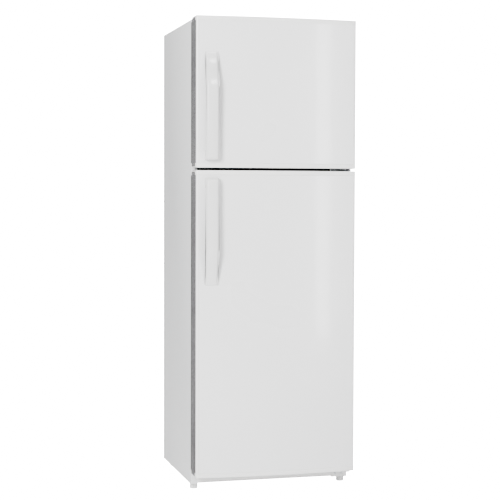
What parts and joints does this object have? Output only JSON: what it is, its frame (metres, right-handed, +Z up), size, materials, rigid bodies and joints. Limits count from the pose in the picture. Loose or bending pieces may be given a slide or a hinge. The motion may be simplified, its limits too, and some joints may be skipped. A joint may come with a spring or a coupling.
{
  "type": "top freezer refrigerator",
  "caption": "Tall white domestic refrigerator with a freezer compartment above a fridge compartment, bowed doors hinged on the right and arched bar handles.",
  "frame": {"origin": "on the floor, below the middle of the whole object's box", "axes": "+Z up along the height; -Y towards a person facing the doors; +X to that person's right, the hinge side"},
  "size_m": [0.595, 0.6385, 1.711],
  "materials": {
    "enamelled_cabinet": "satin",
    "door_enamel": "gloss",
    "white_plastic": "satin",
    "handle_plastic": "gloss",
    "liner_plastic": "satin",
    "clear_plastic": "gloss",
    "shelf_glass": "gloss",
    "insulation_foam": "matte",
    "gasket_rubber": "matte",
    "zinc_steel": "satin",
    "bare_aluminium": "satin",
    "black_plastic": "matte",
    "compressor_enamel": "satin"
  },
  "bodies": {
    "cabinet": {"cabinet_shell": "enamelled_cabinet", "back_panel": "enamelled_cabinet", "mullion_rail": "enamelled_cabinet", "bottom_hinge": "enamelled_cabinet", "kick_trim": "white_plastic", "top_hinge_cover": "white_plastic", "thermostat_housing": "white_plastic", "door_switch_body": "white_plastic", "ice_tray_frame": "white_plastic", "freezer_liner": "liner_plastic", "fridge_liner": "liner_plastic", "evaporator_cover": "liner_plastic", "air_duct_cover": "liner_plastic", "lamp_cover": "clear_plastic", "freezer_shelf": "clear_plastic", "crisper_cover": "shelf_glass", "glass_shelf_lower": "shelf_glass", "glass_shelf_middle": "shelf_glass", "glass_shelf_upper": "shelf_glass", "cabinet_foam": "insulation_foam", "top_hinge": "zinc_steel", "middle_hinge": "zinc_steel", "base_deck": "zinc_steel", "compressor_rail": "zinc_steel", "evaporator_coil": "bare_aluminium", "fan_motor": "black_plastic", "drain_pan": "black_plastic", "cord_inlet": "black_plastic", "compressor": "compressor_enamel"},
    "freezer_door": {"freezer_door_skin": "door_enamel", "freezer_door_foam": "insulation_foam", "freezer_door_liner": "liner_plastic", "freezer_door_top_cap": "white_plastic", "freezer_door_bottom_cap": "white_plastic", "freezer_door_gasket": "gasket_rubber", "freezer_handle": "handle_plastic", "freezer_bin_lower": "clear_plastic", "freezer_bin_upper": "clear_plastic"},
    "fridge_door": {"fridge_door_skin": "door_enamel", "fridge_door_foam": "insulation_foam", "fridge_door_liner": "liner_plastic", "fridge_door_top_cap": "white_plastic", "fridge_door_bottom_cap": "white_plastic", "fridge_door_gasket": "gasket_rubber", "fridge_handle": "handle_plastic", "bottle_rack": "clear_plastic", "fridge_bin_lower": "clear_plastic", "fridge_bin_middle": "clear_plastic", "fridge_bin_upper": "clear_plastic"},
    "ice_tray_left": {"ice_tray_left": "clear_plastic"},
    "ice_tray_right": {"ice_tray_right": "clear_plastic"},
    "ice_bin": {"ice_bin": "clear_plastic"},
    "crisper_drawer": {"crisper_drawer": "clear_plastic"},
    "thermostat_knob": {"thermostat_knob": "white_plastic"},
    "door_switch_plunger": {"door_switch_plunger": "white_plastic"},
    "fan_blade": {"fan_blade": "black_plastic"},
    "foot_left": {"foot_left": "white_plastic"},
    "foot_right": {"foot_right": "white_plastic"},
    "roller_left": {"roller_left": "black_plastic"},
    "roller_right": {"roller_right": "black_plastic"}
  },
  "joints": [
    {"name": "freezer_door_hinge", "type": "hinge", "parent": "cabinet", "child": "freezer_door", "pos_m": [0.2795, -0.2477, 1.162], "axis": [0, 0, 1], "range_deg": [0, 115]},
    {"name": "fridge_door_hinge", "type": "hinge", "parent": "cabinet", "child": "fridge_door", "pos_m": [0.2795, -0.2477, 0.059], "axis": [0, 0, 1], "range_deg": [0, 115]},
    {"name": "ice_tray_left_twist", "type": "hinge", "parent": "cabinet", "child": "ice_tray_left", "pos_m": [-0.18312, -0.0637, 1.575], "axis": [0, 1, 0], "range_deg": [0, 140], "stiffness_Nm_per_rad": 0.02},
    {"name": "ice_tray_right_twist", "type": "hinge", "parent": "cabinet", "child": "ice_tray_right", "pos_m": [-0.06637, -0.0637, 1.575], "axis": [0, 1, 0], "range_deg": [0, 140], "stiffness_Nm_per_rad": 0.02},
    {"name": "ice_bin_slide", "type": "slide", "parent": "cabinet", "child": "ice_bin", "axis": [0, -1, 0], "range_m": [0, 0.095]},
    {"name": "crisper_drawer_slide", "type": "slide", "parent": "cabinet", "child": "crisper_drawer", "axis": [0, -1, 0], "range_m": [0, 0.05]},
    {"name": "thermostat_turn", "type": "hinge", "parent": "cabinet", "child": "thermostat_knob", "pos_m": [0.19, -0.0912, 1.1], "axis": [0, 1, 0], "range_deg": [0, 270]},
    {"name": "door_switch_press", "type": "slide", "parent": "cabinet", "child": "door_switch_plunger", "axis": [0, 1, 0], "range_m": [0, 0.003], "stiffness_N_per_m": 150, "springref_m": -0.005},
    {"name": "fan_spin", "type": "hinge", "parent": "cabinet", "child": "fan_blade", "pos_m": [0.1, 0.1973, 1.56], "axis": [0, 1, 0], "continuous": true},
    {"name": "foot_left_turn", "type": "hinge", "parent": "cabinet", "child": "foot_left", "pos_m": [-0.2805, -0.1637, 0], "axis": [0, 0, 1], "continuous": true},
    {"name": "foot_right_turn", "type": "hinge", "parent": "cabinet", "child": "foot_right", "pos_m": [0.2805, -0.1637, 0], "axis": [0, 0, 1], "continuous": true},
    {"name": "roller_left_roll", "type": "hinge", "parent": "cabinet", "child": "roller_left", "pos_m": [-0.2735, 0.2593, 0.017], "axis": [1, 0, 0], "continuous": true},
    {"name": "roller_right_roll", "type": "hinge", "parent": "cabinet", "child": "roller_right", "pos_m": [0.2735, 0.2593, 0.017], "axis": [1, 0, 0], "continuous": true}
  ]
}
